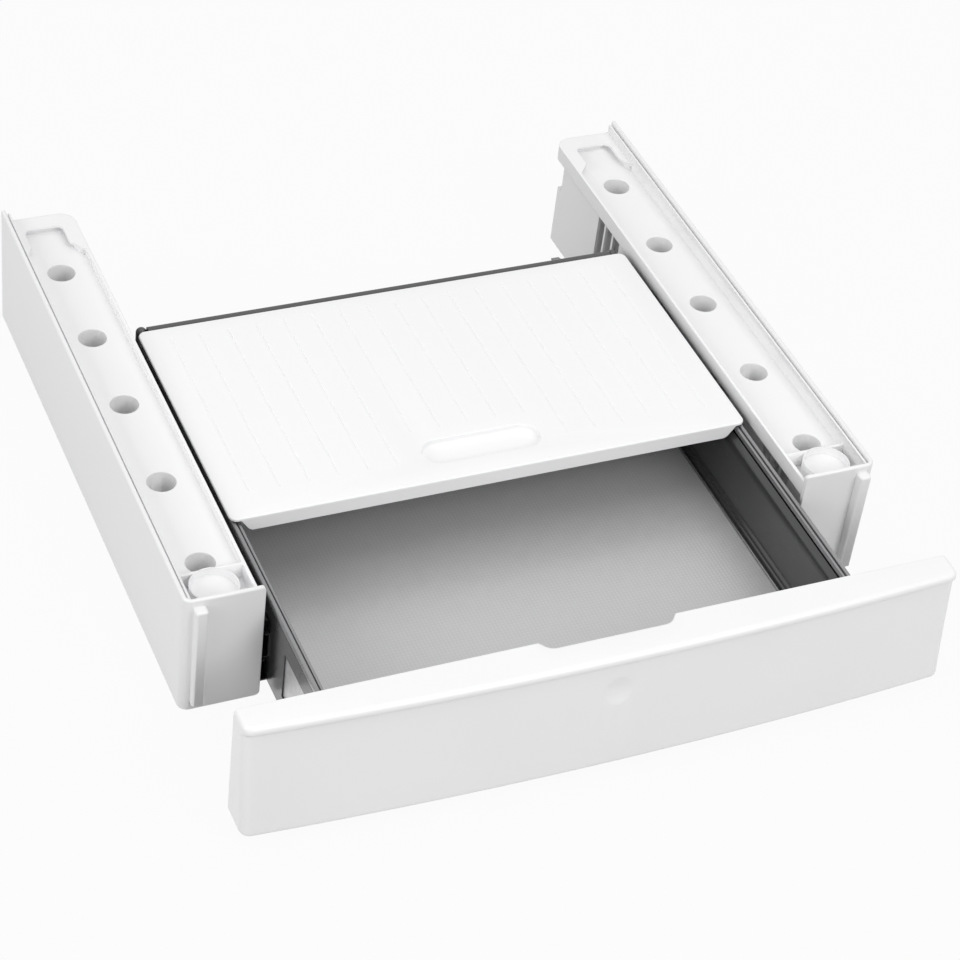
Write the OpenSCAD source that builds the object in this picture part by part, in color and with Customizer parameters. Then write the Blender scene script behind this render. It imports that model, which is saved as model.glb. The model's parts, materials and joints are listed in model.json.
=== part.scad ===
// Stacking kit with drawer: two moulded columns, a telescopic drawer and a sliding worktop
// X runs across the kit, Y from front to back, Z up; the origin is under the middle of the kit

/* [Kit] */
// Width over both column covers
kit_w = 596; // [580:1:620]
// Height of the column covers
kit_h = 115; // [112:1:125]
// Depth of the columns
col_d = 520; // [500:5:560]
// Width of a column over its front plate
col_w = 65; // [62:1:70]
// How far the drawer is drawn out
pull_out = 107; // [20:1:140]

/* [Column cover] */
// Thickness of the cover
cover_t = 4; // [3:0.5:4.5]
// Radius of the cover's front corner
cover_r = 8; // [6:1:12]
// Width of the buffer rib on the front plate
buffer_w = 10.5; // [8:0.5:14]
// How far the buffer rib stands out
buffer_d = 8.2; // [6:0.2:10]
// Distance of the buffer rib's middle from the outer face
buffer_x = 12.3; // [11:0.1:18]
// Distance of the buffer rib's top under the cover's top
buffer_drop = 6; // [4:1:20]
// Height of the buffer rib's foot
buffer_foot = 10; // [4:1:30]
// Snap hooks on each cover
hook_count = 3; // [1:1:5]
// Width of a snap hook
hook_w = 18; // [10:1:24]

/* [Column base] */
// Wall of the base moulding
wall_t = 3; // [2:0.5:4]
// Depth of the deck under the cover's top
deck_drop = 18; // [15:1:22]
// Height of the inner rim over the deck
rim_h = 7; // [5:0.5:9]
// Height of the outer rim over the deck
outer_rim_h = 15; // [10:1:17]
// Height of the inner rim's apron
apron_h = 14; // [10:1:20]
// Distance of the rim behind the front plate's inner edge
rim_inset = 2; // [1:0.5:3]
// Distance of the inner wall behind the front plate's inner edge
wall_inset = 5; // [4:0.5:8]
// Diameter of the deck holes
hole_d = 24; // [16:1:28]
// Wall of the tubes under the deck holes
tube_t = 2.5; // [1.5:0.5:4]
// Depth of the tubes under the deck
tube_l = 30; // [20:1:50]
// Distance of the hole line from the outer face
hole_x = 32; // [30:0.5:34]
// Diameter of the foot socket
socket_d = 37; // [30:1:37]
// Depth of the foot socket
socket_l = 7; // [4.5:0.5:7.5]
// Distance of the socket's middle from the front
socket_y = 24.5; // [24:0.5:30]
// Depth of the pocket round the socket
pocket_l = 6; // [4:1:20]
// Width of the rear tongue pocket
tongue_w = 34; // [24:1:38]
// Length of the rear tongue pocket
tongue_l = 26; // [15:1:35]
// Corner radius of the rear tongue pocket
tongue_r = 6; // [3:1:10]
// Width of one slot in the inner wall
slot_w = 13; // [8:1:14]
// Rib between two slots
slot_rib = 3; // [2:0.5:5]
// Slots in a group
slot_count = 3; // [1:1:3]
// Cells inside the base
cell_count = 9; // [8:1:12]

/* [Runners] */
// Height of the fixed rail
rail_h = 45; // [40:1:50]
// Thickness of the whole telescopic runner
runner_t = 10; // [10:0.5:11]
// Height of the runner's middle
runner_z = 50; // [46:1:56]
// Length of the fixed rail
fixed_l = 367; // [340:1:390]
// Length of the middle rail
middle_l = 310; // [290:1:320]
// Length of the drawer rail
slide_l = 343; // [320:1:360]
// Length of a ball cage
cage_l = 140; // [100:5:150]
// Radius of the bearing balls
ball_r = 1.8; // [1.4:0.1:1.9]
// Balls in one row
ball_count = 6; // [3:1:9]
// Width of the runner bracket's foot
bracket_w = 26; // [20:1:30]
// Width of a cross rail
cross_w = 34; // [25:1:45]
// Height of a cross rail
cross_h = 6; // [5:0.5:6.5]

/* [Drawer] */
// Length of the drawer behind its fascia
drawer_l = 469; // [440:1:475]
// Height of the drawer's top tubes
top_z = 94; // [92:1:98]
// Height of the drawer's underside
under_z = 11.5; // [11:0.5:13]
// Height of the drawer's bottom
floor_z = 22; // [19:0.5:26]
// Radius of the top tubes
top_tube_r = 3.6; // [3:0.1:3.9]
// Thickness of the drawer's steel sheet
skin_t = 1; // [0.8:0.1:1.2]
// Thickness of the back panel's channel
back_t = 7.5; // [6:0.5:10]
// Radius of the rear corner posts
post_r = 4.8; // [4:0.1:5]
// Length of the window in the outer skin
window_l = 78; // [30:1:80]

/* [Fascia] */
// Depth of the fascia's top in the middle
fascia_top_d = 28.7; // [24:0.1:36]
// How far the fascia's foot stands before its top
fascia_lean = 13.8; // [8:0.1:16]
// How far the fascia bows over its width
fascia_bow = 10.3; // [4:0.1:16]
// Height of the fascia's underside
fascia_z = 10; // [9:1:14]
// Wall of the fascia
fascia_t = 3; // [2:0.5:4]
// Width of the finger notch
notch_w = 111; // [80:1:140]
// Depth of the finger notch
notch_d = 8; // [6:0.5:10]
// Height of the finger notch
notch_h = 20; // [10:1:30]
// Diameter of the round dimple
dimple_d = 27; // [16:1:34]
// Depth of the round dimple
dimple_l = 0.8; // [0.4:0.1:1.5]

/* [Worktop] */
// Gap between the worktop and a front plate
lid_gap = 5; // [4:0.5:5.5]
// Depth of the worktop
lid_d = 249; // [200:1:300]
// Thickness of the worktop
lid_t = 2.2; // [1.8:0.1:2.6]
// Height of the worktop's apron
lid_apron = 13.5; // [8:0.5:16]
// Length of the grip recess
grip_w = 104; // [80:1:130]
// Width of the grip recess
grip_d = 29; // [20:1:36]
// Depth of the grip recess
grip_l = 6; // [5:0.5:8]
// Grooves in the worktop
groove_count = 17; // [5:2:21]
// Width of a groove
groove_w = 1.2; // [0.8:0.1:2]

/* [Hidden] */
$fn = 64;
// One overrun for all cuts
over = 1;
// Clearance between pieces that are fitted together
fit = 0.3;
// Clearance between pieces that slide
run = 0.5;

// Heights and places of the column
half_w = kit_w / 2;
plate_x = half_w - col_w;
rim_x = plate_x + rim_inset;
wall_x = plate_x + wall_inset;
cover_x = half_w - cover_t;
base_x = cover_x - fit;
base_y = cover_t + fit;
deck_z = kit_h - deck_drop;
rim_z = deck_z + rim_h;
line_x = half_w - hole_x;
deck_end = col_d - wall_t / 2;
body_end = deck_end - apron_h;
notch_end = body_end - 2.5 * wall_t;
deck_r = apron_h;
socket_r = socket_d / 2;
socket_wall_y = socket_y + socket_r;
tongue_end = deck_end - apron_h - wall_t;
tongue_y = tongue_end - tongue_l;
shoulder_y = tongue_y - tongue_w / 2 + wall_t;
rear_notch_z_shares = [0.52, 0.76];
hole_from = socket_wall_y + hole_d / 2 + 0.9 * wall_t;
hole_to = shoulder_y - hole_d / 2 - 2.3 * wall_t;
hole_y_shares = [0, 0.257, 0.518, 0.755, 1];
function hole_y(share) = hole_from + share * (hole_to - hole_from);
slot_y_shares = [0.107, 0.304, 0.535, 0.758];
hook_z = kit_h / 4;
cell_pitch = (notch_end - wall_t - base_y) / cell_count;
function hook_y(i) = base_y + wall_t / 2 + cell_pitch * (floor(i * cell_count / (hook_count + 1)) + 0.5);
slot_z = 2.7 * wall_t;
buffer_r = 0.3 * buffer_d;
rim_out = base_x - wall_t / 3;
rim_in = rim_out - wall_t * 2 / 3;
front_wall_t = wall_t / 2;
ring_t = tube_t / 2;

// Places of the runner, from the column wall towards the drawer
bracket_t = wall_t / 2;
run_x = wall_x - bracket_t;
skin_x = run_x - runner_t;
steel_t = runner_t / 10;
cage_t = steel_t / 2;
middle_t = 0.8 * steel_t;
flange_g = 2 * ball_r + 2 * fit;
fixed_w = rail_h / 2;
middle_w = fixed_w - steel_t - flange_g;
slide_w = middle_w - middle_t - flange_g;
outer_row_w = middle_w + flange_g / 2;
inner_row_w = slide_w + flange_g / 2;
middle_u = run_x - plate_x + fit;
inner_cage_u = middle_u + middle_t + fit;
slide_u = inner_cage_u + cage_t + fit;
outer_row_u = middle_u + ball_r + 1.3 * fit;
inner_row_u = slide_u + ball_r - 2.6 * fit;
fixed_y = 2 * cover_t;
middle_y = fixed_y + rail_h * 1.2 - pull_out / 2;
outer_cage_y = fixed_y + fixed_l * 0.327 - pull_out / 4;
inner_cage_y = fixed_y + fixed_l * 0.458 - pull_out * 3 / 4;
bracket_z = cross_h + bracket_t;
bracket_top = runner_z + fixed_w - steel_t;
bracket_in = skin_x - bracket_w;
cross_y_shares = [0.148, 0.857];
function cross_y(share) = fixed_y + share * fixed_l;
cross_screw_shares = [0.3, 0.7];
runner_screw_y_shares = [0.027, 0.87, 0.97];
rail_screw_y_shares = [0.12, 0.5, 0.88];
screw_r = steel_t * 2;
screw_head_r = 1.9 * screw_r;

// Places of the drawer
fascia_y = -(buffer_d + fit + pull_out);
back_y = fascia_y + drawer_l - back_t;
slide_y = back_y - slide_l - skin_t;
tube_x = skin_x - top_tube_r + fit;
tube_z = top_z - top_tube_r;
inner_x = skin_x - 12.5 * skin_t;
ledge_x = inner_x - 3 * skin_t;
foot_x = ledge_x - 2 * skin_t;
tray_x = inner_x - skin_t;
post_x = skin_x - post_r;
post_y = back_y + back_t - fit;
window_z = floor_z + 3 * skin_t;
window_top = runner_z + fixed_w - wall_t;
window_y = fascia_y + back_t;
rivet_z = top_z - 13 * skin_t;
rivet_y_shares = [0.225, 0.45, 0.675, 0.9];

// Places of the fascia
fascia_r = (half_w * half_w + fascia_bow * fascia_bow) / (2 * fascia_bow);
crest_y = fascia_y - fascia_top_d;
lip_r = 1.8 * fascia_t;
neck_z = kit_h - 2.8 * fascia_t;
end_r = cover_r;
lean_a = atan(fascia_lean * 0.65 / (neck_z - fascia_z));
notch_r = 0.8 * notch_d;
rib_x_shares = [0.25, 0.5, 0.88];
fascia_screw_r = 0.7 * screw_r;
fascia_screw_l = 3 * fascia_t;
fascia_screw_x = (inner_x + skin_x + skin_t) / 2;
fascia_screw_z_shares = [0.2, 0.5, 0.8];
fascia_screw_z = [for (share = fascia_screw_z_shares) window_z + share * (window_top - window_z)];
dimple_z = fascia_z + 0.67 * (kit_h - fascia_z);
dimple_r = (dimple_d * dimple_d / 4 + dimple_l * dimple_l) / (2 * dimple_l);

// Places of the worktop
glide_t = steel_t;
lid_w = 2 * (plate_x - lid_gap);
lid_z = top_z + fit + glide_t;
lid_y = back_y - run - lid_d;
lid_top = lid_z + lid_t;
lid_r = 3 * lid_t;
grip_y = lid_y + 0.14 * lid_d;
groove_pitch = lid_w / (groove_count + 1);
lid_rib_x_shares = [-0.36, -0.18, 0.18, 0.36];

// Middle of the kit's length, which the origin stands under
front_y = crest_y - fascia_lean;
mid_y = (front_y + col_d) / 2;

// Straight piece between two corners
module box(x0, x1, y0, y1, z0, z1) {
    translate([x0, y0, z0]) cube([x1 - x0, y1 - y0, z1 - z0]);
}

// Puts the origin under the middle of the kit
module kit() {
    translate([0, -mid_y, 0]) children();
}

// Right-hand piece, its left-hand twin, and both
module right_of() { kit() children(); }
module left_of() { kit() mirror([1, 0, 0]) children(); }
module both_sides() {
    right_of() children();
    left_of() children();
}

// Extrudes a section drawn in X and Z along Y
module along_y(y0, y1) {
    translate([0, y1, 0]) rotate([90, 0, 0]) linear_extrude(y1 - y0) children();
}

// Extrudes a section drawn in Y and Z along X
module along_x(x0, x1) {
    translate([x0, 0, 0]) rotate([90, 0, 90]) linear_extrude(x1 - x0) children();
}

// Folded sheet: the path is its face and the thickness lies to the left of it
function unit(v) = v / norm(v);
function side_normal(a, b) = let (d = unit(b - a)) [-d[1], d[0]];
function mitre(path, i) =
    i == 0 ? side_normal(path[0], path[1])
    : i == len(path) - 1 ? side_normal(path[i - 1], path[i])
    : let (n = side_normal(path[i - 1], path[i]), m = side_normal(path[i], path[i + 1]))
        (n + m) / (1 + n * m);
module sheet(path, t) {
    last = len(path) - 1;
    polygon(concat(path, [for (i = [last:-1:0]) path[i] + t * mitre(path, i)]));
}

// Square with all four corners rounded
module round_square(w, d, r) {
    square([w - 2 * r, d], center = true);
    square([w, d - 2 * r], center = true);
    for (x = [-1, 1], y = [-1, 1]) translate([x * (w / 2 - r), y * (d / 2 - r)]) circle(r);
}

// Long hole with round ends
module stadium(w, d) {
    square([w - d, d], center = true);
    for (x = [-1, 1]) translate([x * (w - d) / 2, 0]) circle(d / 2);
}

// Takes the corner off a vertical edge, leaving a round of radius r at the origin's side
module edge_cut(r, h) {
    difference() {
        translate([0, 0, -over]) cube([r + over, r + over, h + 2 * over]);
        translate([0, 0, -2 * over]) cylinder(r = r, h = h + 4 * over);
    }
}

// Column base

module deck_outline() {
    translate([rim_x, base_y]) square([base_x - rim_x, deck_end - deck_r - base_y]);
    translate([rim_x + deck_r, base_y]) square([base_x - rim_x - deck_r, deck_end - base_y]);
    translate([rim_x + deck_r, deck_end - deck_r]) circle(deck_r);
}

// Hollow of the deck with the tongue at its rear
module deck_hollow() {
    x0 = rim_x + wall_t;
    x1 = rim_in;
    mid = line_x;
    translate([x0, socket_wall_y]) square([x1 - x0, shoulder_y - socket_wall_y]);
    polygon([[x0, shoulder_y - over], [x0, shoulder_y],
        [mid - tongue_w / 2, tongue_y], [mid + tongue_w / 2, tongue_y],
        [x1, shoulder_y], [x1, shoulder_y - over]]);
    translate([mid, tongue_end - tongue_l / 2 - tongue_r])
        round_square(tongue_w, tongue_l + 2 * tongue_r, tongue_r);
}

module base_cells() {
    for (i = [0:cell_count - 1])
        box(wall_x + wall_t, base_x - wall_t, base_y + wall_t + i * cell_pitch,
            base_y + (i + 1) * cell_pitch, -over, deck_z - wall_t - (i == 0 ? pocket_l : 0));
}

module wall_slots() {
    pitch = slot_w + slot_rib;
    for (share = slot_y_shares, i = [0:slot_count - 1]) {
        y = share * col_d + (i - (slot_count - 1) / 2) * pitch;
        box(wall_x - over, wall_x + wall_t + over, y - slot_w / 2, y + slot_w / 2, slot_z, rim_z - apron_h);
    }
}

module hook_slots() {
    for (i = [1:hook_count]) {
        y = hook_y(i);
        box(base_x - wall_t - over, base_x + over, y - hook_w / 2 - run, y + hook_w / 2 + run,
            hook_z - cover_t - run, hook_z + cover_t / 2 + run);
    }
}

module screw_places() {
    for (share = runner_screw_y_shares)
        translate([wall_x, fixed_y + share * fixed_l, runner_z]) rotate([0, 90, 0]) children();
}

module base() {
    pocket_z = deck_z - pocket_l;
    ring_r = socket_r + ring_t;
    difference() {
        union() {
            difference() {
                union() {
                    box(wall_x, base_x, base_y, notch_end, 0, deck_z);
                    box(wall_x, base_x, base_y, body_end, 0, rear_notch_z_shares[0] * kit_h);
                    translate([0, 0, rim_z - apron_h]) linear_extrude(apron_h) deck_outline();
                    box(rim_in, base_x, base_y, deck_end, 0, deck_z);
                    box(rim_in, rim_out, base_y, deck_end, 0, deck_z + outer_rim_h);
                    box(rim_x, rim_out, base_y, base_y + front_wall_t, deck_z, deck_z + outer_rim_h);
                }
                base_cells();
                translate([0, 0, deck_z]) linear_extrude(outer_rim_h) deck_hollow();
                box(rim_x + wall_t, rim_in, base_y + wall_t, socket_wall_y - wall_t,
                    pocket_z, rim_z + over);
                wall_slots();
                hook_slots();
            }
            intersection() {
                translate([line_x, socket_y, pocket_z - wall_t / 2])
                    cylinder(r = ring_r, h = pocket_l + rim_h + wall_t / 2);
                box(rim_x, base_x, base_y, socket_wall_y + ring_r, 0, kit_h);
            }
            for (share = hole_y_shares)
                translate([line_x, hole_y(share), deck_z - tube_l])
                    cylinder(d = hole_d + 2 * tube_t, h = tube_l - wall_t / 2);
            screw_places() cylinder(r = screw_head_r + steel_t, h = 3 * wall_t);
        }
        for (share = hole_y_shares)
            translate([line_x, hole_y(share), deck_z - tube_l - over])
                cylinder(d = hole_d, h = tube_l + outer_rim_h);
        translate([line_x, socket_y, rim_z - socket_l]) cylinder(r = socket_r, h = socket_l + over);
        screw_places() translate([0, 0, -over]) cylinder(r = screw_r + fit / 3, h = 4 * wall_t + over);
        translate([half_w - cover_r, cover_r, 0]) mirror([0, 1, 0])
            edge_cut(cover_r - cover_t - fit, kit_h);
    }
}
module right_base() { color("whitesmoke") right_of() base(); }
module left_base() { color("whitesmoke") left_of() base(); }

// Column cover

// Section of the cover's wall, round at its top
module cover_section() {
    square([cover_t, kit_h - cover_t / 2]);
    translate([cover_t / 2, kit_h - cover_t / 2]) circle(cover_t / 2);
}

module buffer_rib() {
    x = buffer_w / 2 - buffer_r;
    h = kit_h - buffer_drop - buffer_r - buffer_foot;
    back = buffer_d - buffer_r + cover_t / 2;
    translate([half_w - buffer_x, buffer_r - buffer_d, buffer_foot]) {
        for (s = [-1, 1]) translate([s * x, 0, 0]) {
            cylinder(r = buffer_r, h = h);
            translate([0, 0, h]) sphere(buffer_r);
            translate([0, 0, h]) along_y(0, back) circle(buffer_r);
        }
        translate([0, 0, h]) along_x(-x, x) circle(buffer_r);
        translate([-x, -buffer_r, 0]) cube([2 * x, 2 * buffer_r, h]);
        translate([-buffer_w / 2, 0, 0]) cube([buffer_w, back, h]);
        translate([-x, 0, 0]) cube([2 * x, back, h + buffer_r]);
    }
}

module cover_hooks() {
    for (i = [1:hook_count]) {
        y = hook_y(i);
        reach = cover_x - wall_t - 2 * cover_t;
        box(reach, cover_x + over, y - hook_w / 2, y + hook_w / 2, hook_z, hook_z + cover_t / 2);
        box(reach, base_x - wall_t - fit, y - hook_w / 2, y + hook_w / 2, hook_z - cover_t, hook_z + over);
    }
}

module cover() {
    corner = plate_x + cover_t;
    translate([cover_x, 0, 0]) along_y(cover_r, col_d) cover_section();
    translate([half_w - cover_r, cover_r, 0]) rotate([0, 0, -90]) rotate_extrude(angle = 90)
        translate([cover_r - cover_t, 0]) cover_section();
    intersection() {
        along_x(plate_x, half_w - cover_r) cover_section();
        along_y(0, cover_t) {
            translate([corner, 0]) square([half_w - corner, kit_h]);
            translate([plate_x, cover_t]) square([cover_t, kit_h - 2 * cover_t]);
            for (z = [cover_t, kit_h - cover_t]) translate([corner, z]) circle(cover_t);
        }
    }
    buffer_rib();
    cover_hooks();
}
module right_cover() { color("white") right_of() cover(); }
module left_cover() { color("white") left_of() cover(); }

// Cross rails under the drawer, and the runner brackets that stand on them

module cross_rail(share) {
    color("dimgray") kit() difference() {
        translate([0, cross_y(share), 0]) along_x(-wall_x + fit, wall_x - fit)
            sheet([[cross_w, 0], [cross_w, cross_h], [0, cross_h], [0, 0]], bracket_t);
        for (s = [0, 1]) mirror([s, 0, 0]) cross_screw_places()
            cylinder(r = screw_r + fit / 3, h = bracket_z);
    }
}
module front_cross_rail() { cross_rail(cross_y_shares[0]); }
module rear_cross_rail() { cross_rail(cross_y_shares[1]); }

// Places of the screws that hold a bracket on the cross rails
module cross_screw_places() {
    for (share = cross_y_shares, i = cross_screw_shares)
        translate([(bracket_in + skin_x) / 2, cross_y(share) + i * cross_w, 0]) children();
}

module cross_rail_screws() {
    color("silver") both_sides() cross_screw_places() {
        translate([0, 0, steel_t]) cylinder(r = screw_r, h = bracket_z);
        translate([0, 0, bracket_z]) cylinder(r = screw_head_r, h = steel_t);
    }
}

module runner_bracket() {
    difference() {
        along_y(fixed_y, fixed_y + fixed_l)
            sheet([[run_x, bracket_top], [run_x, bracket_z], [bracket_in, bracket_z]], bracket_t);
        cross_screw_places() translate([0, 0, -over])
            cylinder(r = screw_r + fit / 3, h = bracket_z + 2 * over);
        screw_places() translate([0, 0, -bracket_t - over])
            cylinder(r = screw_r + fit / 3, h = bracket_t + 2 * over);
    }
}
module right_runner_bracket() { color("dimgray") right_of() runner_bracket(); }
module left_runner_bracket() { color("dimgray") left_of() runner_bracket(); }

// Telescopic runner: sections are drawn from the column wall towards the drawer

// Turns a section's depth from the wall into its place across the kit
module runner_piece(y0, y1) {
    translate([run_x, 0, runner_z]) mirror([1, 0, 0]) along_y(y0, y1) children();
}

// Channel that opens towards the drawer, with lips that keep the balls in
function channel(u0, u1, w, lip) = [[u1, w - lip], [u1, w], [u0, w], [u0, -w], [u1, -w], [u1, lip - w]];

module fixed_rail() {
    difference() {
        runner_piece(fixed_y, fixed_y + fixed_l)
            sheet(channel(0, outer_row_u + ball_r + run + steel_t, fixed_w, 2.4 * steel_t), steel_t);
        screw_places() translate([0, 0, -runner_t]) cylinder(r = screw_r + fit / 3, h = runner_t);
    }
}
module right_fixed_rail() { color("darkslategray") right_of() fixed_rail(); }
module left_fixed_rail() { color("darkslategray") left_of() fixed_rail(); }

module runner_screws() {
    color("silver") both_sides() screw_places() translate([0, 0, -bracket_t]) {
        translate([0, 0, -steel_t - 0.8 * steel_t]) cylinder(r = screw_head_r, h = 0.8 * steel_t);
        translate([0, 0, -steel_t]) cylinder(r = screw_r, h = 3 * wall_t);
    }
}

module middle_rail() {
    runner_piece(middle_y, middle_y + middle_l)
        sheet(channel(middle_u, inner_row_u + ball_r + fit + middle_t, middle_w, 2.4 * middle_t), middle_t);
}
module right_middle_rail() { color("darkslategray") right_of() middle_rail(); }
module left_middle_rail() { color("darkslategray") left_of() middle_rail(); }

module drawer_rail() {
    difference() {
        runner_piece(slide_y, slide_y + slide_l)
            sheet([[slide_u, -slide_w], [runner_t, -slide_w],
                [runner_t, slide_w], [slide_u, slide_w]], steel_t);
        rail_screw_places() translate([0, 0, -over]) cylinder(r = screw_r + fit / 3, h = runner_t);
    }
}
module right_drawer_rail() { color("darkslategray") right_of() drawer_rail(); }
module left_drawer_rail() { color("darkslategray") left_of() drawer_rail(); }

// Places of the screws that hold the drawer rail, which point at the drawer
module rail_screw_places() {
    for (share = rail_screw_y_shares)
        translate([skin_x, slide_y + share * slide_l, runner_z]) rotate([0, 90, 0]) children();
}

module drawer_rail_screws() {
    color("silver") both_sides() rail_screw_places() {
        translate([0, 0, steel_t]) cylinder(r = screw_head_r, h = steel_t);
        translate([0, 0, -2 * skin_t]) cylinder(r = screw_r, h = steel_t + 2 * skin_t + steel_t / 2);
    }
}

// Places of the balls in one cage
module ball_places(y0, u, w) {
    pitch = cage_l / ball_count;
    for (i = [0:ball_count - 1], s = [-1, 1])
        translate([run_x - u, y0 + (i + 0.5) * pitch, runner_z + s * w]) children();
}

module cage(y0, u0, u, w) {
    difference() {
        runner_piece(y0, y0 + cage_l)
            sheet([[u + ball_r, w + cage_t / 2], [u0, w + cage_t / 2],
                [u0, -w - cage_t / 2], [u + ball_r, -w - cage_t / 2]],
                cage_t);
        ball_places(y0, u, w) translate([0, 0, -ball_r - fit / 2])
            cylinder(r = ball_r + fit / 2, h = 2 * ball_r + fit);
    }
}
module outer_cage() { cage(outer_cage_y, steel_t + fit, outer_row_u, outer_row_w); }
module inner_cage() { cage(inner_cage_y, inner_cage_u, inner_row_u, inner_row_w); }
module outer_balls() { ball_places(outer_cage_y, outer_row_u, outer_row_w) sphere(ball_r); }
module inner_balls() { ball_places(inner_cage_y, inner_row_u, inner_row_w) sphere(ball_r); }
module right_outer_cage() { color("goldenrod") right_of() outer_cage(); }
module left_outer_cage() { color("goldenrod") left_of() outer_cage(); }
module right_inner_cage() { color("goldenrod") right_of() inner_cage(); }
module left_inner_cage() { color("goldenrod") left_of() inner_cage(); }
module right_outer_balls() { color("silver") right_of() outer_balls(); }
module left_outer_balls() { color("silver") left_of() outer_balls(); }
module right_inner_balls() { color("silver") right_of() inner_balls(); }
module left_inner_balls() { color("silver") left_of() inner_balls(); }

// Drawer sides

// Inner skin: a hollow curve under the tube, a wall and two ledges over the bottom
module side_inner() {
    along_y(fascia_y, back_y) sheet([
        [tube_x - 0.7 * top_tube_r, tube_z - 0.75 * top_tube_r],
        [inner_x + 2.5 * skin_t, rivet_z + 2.5 * skin_t],
        [inner_x + 0.7 * skin_t, rivet_z - skin_t],
        [inner_x, rivet_z - 5 * skin_t],
        [inner_x, floor_z + 8 * skin_t],
        [ledge_x, floor_z + 6 * skin_t],
        [ledge_x, floor_z + 4 * skin_t],
        [foot_x, floor_z + 2.5 * skin_t],
        [foot_x, floor_z]
    ], skin_t);
}
module right_side_inner() { color("gray") right_of() side_inner(); }
module left_side_inner() { color("gray") left_of() side_inner(); }

// Rivets through the outer skin, along its upper edge
module rivet_places() {
    for (share = rivet_y_shares)
        translate([skin_x, fascia_y + share * drawer_l, rivet_z]) rotate([0, 90, 0]) children();
}

module side_rivets() {
    head = 0.7 * screw_head_r;
    color("silver") both_sides() rivet_places() {
        cylinder(r = head, h = skin_t / 2);
        translate([0, 0, -3 * skin_t]) cylinder(r = screw_r * 0.8, h = 3 * skin_t);
    }
}

// Outer skin: a plain wall with a window at its front and a foot that carries the bottom
module side_outer() {
    difference() {
        along_y(fascia_y, back_y)
            sheet([[foot_x - 6.5 * skin_t, under_z], [skin_x, under_z],
                [skin_x, tube_z - 0.8 * top_tube_r]], skin_t);
        box(skin_x - skin_t - over, skin_x + over, window_y, window_y + window_l, window_z, window_top);
        rail_screw_places() translate([0, 0, -2 * skin_t - over])
            cylinder(r = screw_r + fit / 3, h = 2 * skin_t + 2 * over);
        rivet_places() translate([0, 0, -2 * skin_t]) cylinder(r = screw_r, h = 3 * skin_t);
    }
}
module right_side_outer() { color("dimgray") right_of() side_outer(); }
module left_side_outer() { color("dimgray") left_of() side_outer(); }

module top_tube() {
    translate([tube_x, 0, tube_z]) along_y(fascia_y, post_y - post_r) difference() {
        circle(top_tube_r);
        circle(top_tube_r - skin_t);
    }
}
module right_top_tube() { color("darkgray") right_of() top_tube(); }
module left_top_tube() { color("darkgray") left_of() top_tube(); }

// Drawer bottom with its edges folded down, and the back

module drawer_bottom() {
    foot = under_z + skin_t;
    color("silver") kit() along_y(fascia_y, back_y - fit)
        sheet([[tray_x, foot], [tray_x, floor_z], [-tray_x, floor_z], [-tray_x, foot]], skin_t);
}

module back_panel() {
    lip = 1.1 * back_t;
    side = post_x - post_r;
    color("dimgray") kit() along_x(-side, side)
        sheet([[back_y + back_t, top_z - lip], [back_y + back_t, top_z],
            [back_y, top_z], [back_y, under_z + skin_t]], skin_t);
}

// Small hook behind the back panel
module back_clip() {
    w = back_t;
    x = 0.55 * half_w;
    color("dimgray") kit() along_x(x, x + w)
        polygon([[back_y + back_t, top_z], [back_y + back_t, top_z - w],
            [back_y + back_t + w, top_z - w / 3]]);
}

// Round corner post with the block that closes the hollow side
module corner_post() {
    translate([post_x, post_y, under_z + skin_t]) cylinder(r = post_r, h = tube_z - under_z - skin_t);
    translate([post_x, post_y, tube_z]) sphere(post_r);
    box(post_x - post_r + fit, skin_x - skin_t, back_y, post_y, under_z + skin_t, rivet_z);
}
module right_corner_post() { color("dimgray") right_of() corner_post(); }
module left_corner_post() { color("dimgray") left_of() corner_post(); }

// Fascia

// Upright section of the fascia, measured from the axis of its bow
module fascia_section(inset) {
    back = fascia_r - 2 * fascia_top_d;
    foot_r = fascia_r + fascia_lean - inset;
    polygon([
        [back, fascia_z + inset],
        [foot_r - fascia_t, fascia_z + inset],
        [foot_r, fascia_z + fascia_t + inset],
        [fascia_r + 0.88 * lip_r - inset, neck_z],
        [fascia_r - inset, kit_h - lip_r],
        [fascia_r - inset, kit_h - inset],
        [back, kit_h - inset]
    ]);
    if (inset == 0) translate([fascia_r, kit_h - lip_r]) circle(lip_r);
}

// Whole form of the fascia, drawn in by inset on all sides but the back
module fascia_form(inset) {
    span = 4 * asin(half_w / fascia_r);
    foot_y = crest_y - fascia_lean;
    difference() {
        intersection() {
            translate([0, crest_y + fascia_r, 0]) rotate([0, 0, -90 - span / 2])
                rotate_extrude(angle = span, $fn = 720) fascia_section(inset);
            box(inset - half_w, half_w - inset, front_y - over, fascia_y, 0, kit_h);
        }
        fascia_end_cut(inset);
        mirror([1, 0, 0]) fascia_end_cut(inset);
    }
}

// Bevels the upright front edge of one end along the lean of the face
module fascia_end_cut(inset) {
    translate([half_w, crest_y + fascia_bow - lip_r, neck_z]) rotate([-lean_a, 0, 0]) rotate([0, 0, -45])
        translate([-end_r / norm([1, 1]) - inset, -2 * end_r, -2 * kit_h])
            cube([3 * end_r, 4 * end_r, 4 * kit_h]);
}

module notch_outline(grow) {
    w = notch_w / 2 + grow;
    d = notch_d + grow;
    r = notch_r + grow;
    translate([-w, fascia_y - d + r]) square([2 * w, d - r + over]);
    translate([r - w, fascia_y - d]) square([2 * (w - r), r + over]);
    for (x = [-1, 1]) translate([x * (w - r), fascia_y - d + r]) circle(r);
}

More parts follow.
